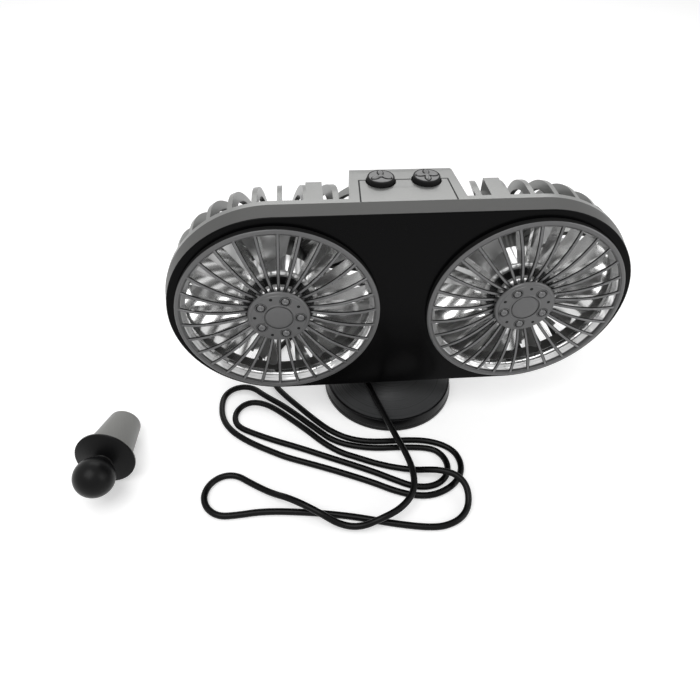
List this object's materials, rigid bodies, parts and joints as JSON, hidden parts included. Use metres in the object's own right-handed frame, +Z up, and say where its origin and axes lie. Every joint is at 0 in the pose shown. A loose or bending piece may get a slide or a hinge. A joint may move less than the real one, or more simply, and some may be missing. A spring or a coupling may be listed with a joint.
{
  "type": "dual head car fan",
  "caption": "Small twin fan for a car: a wide head with round caged fans and push buttons, on a ball joint and a round base, with a loose lead and a spare stud.",
  "frame": {"origin": "centre of the base's underside", "axes": "+X along the head's width, -Y towards the front that the air leaves by, +Z up"},
  "size_m": [0.266, 0.153, 0.1276],
  "materials": {
    "black_plastic": "gloss black",
    "grille_plastic": "grey satin",
    "blade_plating": "smoky bright plating",
    "silver_plastic": "silver satin",
    "chrome": "bright plated",
    "dark_plastic": "matt black",
    "base_plastic": "dark grey, fine turned sheen",
    "liner_plastic": "smooth",
    "pad_foam": "soft foam",
    "cord_rubber": "satin black",
    "steel": "plain",
    "motor_plastic": "moulded",
    "ferrite": "plain",
    "bronze": "sintered",
    "winding": "laminated, wound",
    "board": "lacquered"
  },
  "bodies": {
    "base": {"base_shell": "base_plastic", "base_plate": "dark_plastic", "base_pad": "pad_foam", "base_screws": "steel", "cord_lead": "cord_rubber", "power_cord": "cord_rubber", "usb_plug_body": "cord_rubber", "usb_plug_shell": "steel"},
    "post": {"ball_post": "dark_plastic", "post_washer": "steel", "post_screw": "steel"},
    "cup": {"ball_liner": "liner_plastic"},
    "head": {"front_frame": "black_plastic", "rear_shell": "silver_plastic", "button_deck": "silver_plastic", "grille_left": "grille_plastic", "grille_right": "grille_plastic", "duct_ring_left": "chrome", "duct_ring_right": "chrome", "motor_can_left": "steel", "motor_can_right": "steel", "motor_cap_left": "motor_plastic", "motor_cap_right": "motor_plastic", "motor_magnets_left": "ferrite", "motor_magnets_right": "ferrite", "motor_bushes_left": "bronze", "motor_bushes_right": "bronze", "rear_cap_left": "silver_plastic", "rear_cap_right": "silver_plastic", "motor_lead_left": "cord_rubber", "motor_lead_right": "cord_rubber", "inner_cable": "cord_rubber", "switch_board": "board", "switch_bodies": "dark_plastic", "board_screws": "steel", "shell_screws": "steel", "ball_socket": "dark_plastic", "socket_ring": "dark_plastic", "ring_screws": "steel", "socket_screws": "steel", "cord_gland": "cord_rubber"},
    "fan_left": {"impeller_left": "blade_plating", "hub_cap_left": "chrome", "motor_shaft_left": "steel", "motor_rotor_left": "winding"},
    "button_left": {"button_left": "silver_plastic", "switch_plunger_left": "dark_plastic"},
    "fan_right": {"impeller_right": "blade_plating", "hub_cap_right": "chrome", "motor_shaft_right": "steel", "motor_rotor_right": "winding"},
    "button_right": {"button_right": "silver_plastic", "switch_plunger_right": "dark_plastic"},
    "spare_stud": {"spare_ball_stud": "black_plastic"}
  },
  "joints": [
    {"name": "swivel", "type": "hinge", "parent": "base", "child": "post", "pos_m": [0, 0, 0.017], "axis": [0, 0, 1], "range_deg": [-150, 150], "deforming": ["cord_lead"]},
    {"name": "roll", "type": "hinge", "parent": "post", "child": "cup", "pos_m": [0, 0, 0.036], "axis": [0, 1, 0], "range_deg": [-10, 10], "deforming": ["cord_lead"]},
    {"name": "tilt", "type": "hinge", "parent": "cup", "child": "head", "pos_m": [0, 0, 0.036], "axis": [1, 0, 0], "range_deg": [-20, 20], "deforming": ["cord_lead"]},
    {"name": "spin_left", "type": "hinge", "parent": "head", "child": "fan_left", "pos_m": [-0.057, 0, 0.074], "axis": [0, 1, 0], "continuous": true},
    {"name": "spin_right", "type": "hinge", "parent": "head", "child": "fan_right", "pos_m": [0.057, 0, 0.074], "axis": [0, 1, 0], "continuous": true},
    {"name": "press_left", "type": "slide", "parent": "head", "child": "button_left", "axis": [0, 0, -1], "range_m": [0, 0.0005], "stiffness_N_per_m": 1000},
    {"name": "press_right", "type": "slide", "parent": "head", "child": "button_right", "axis": [0, 0, -1], "range_m": [0, 0.0005], "stiffness_N_per_m": 1000},
    {"name": "stud_lift", "type": "slide", "parent": "base", "child": "spare_stud", "axis": [0, 0, 1], "range_m": [0, 0.06]}
  ]
}
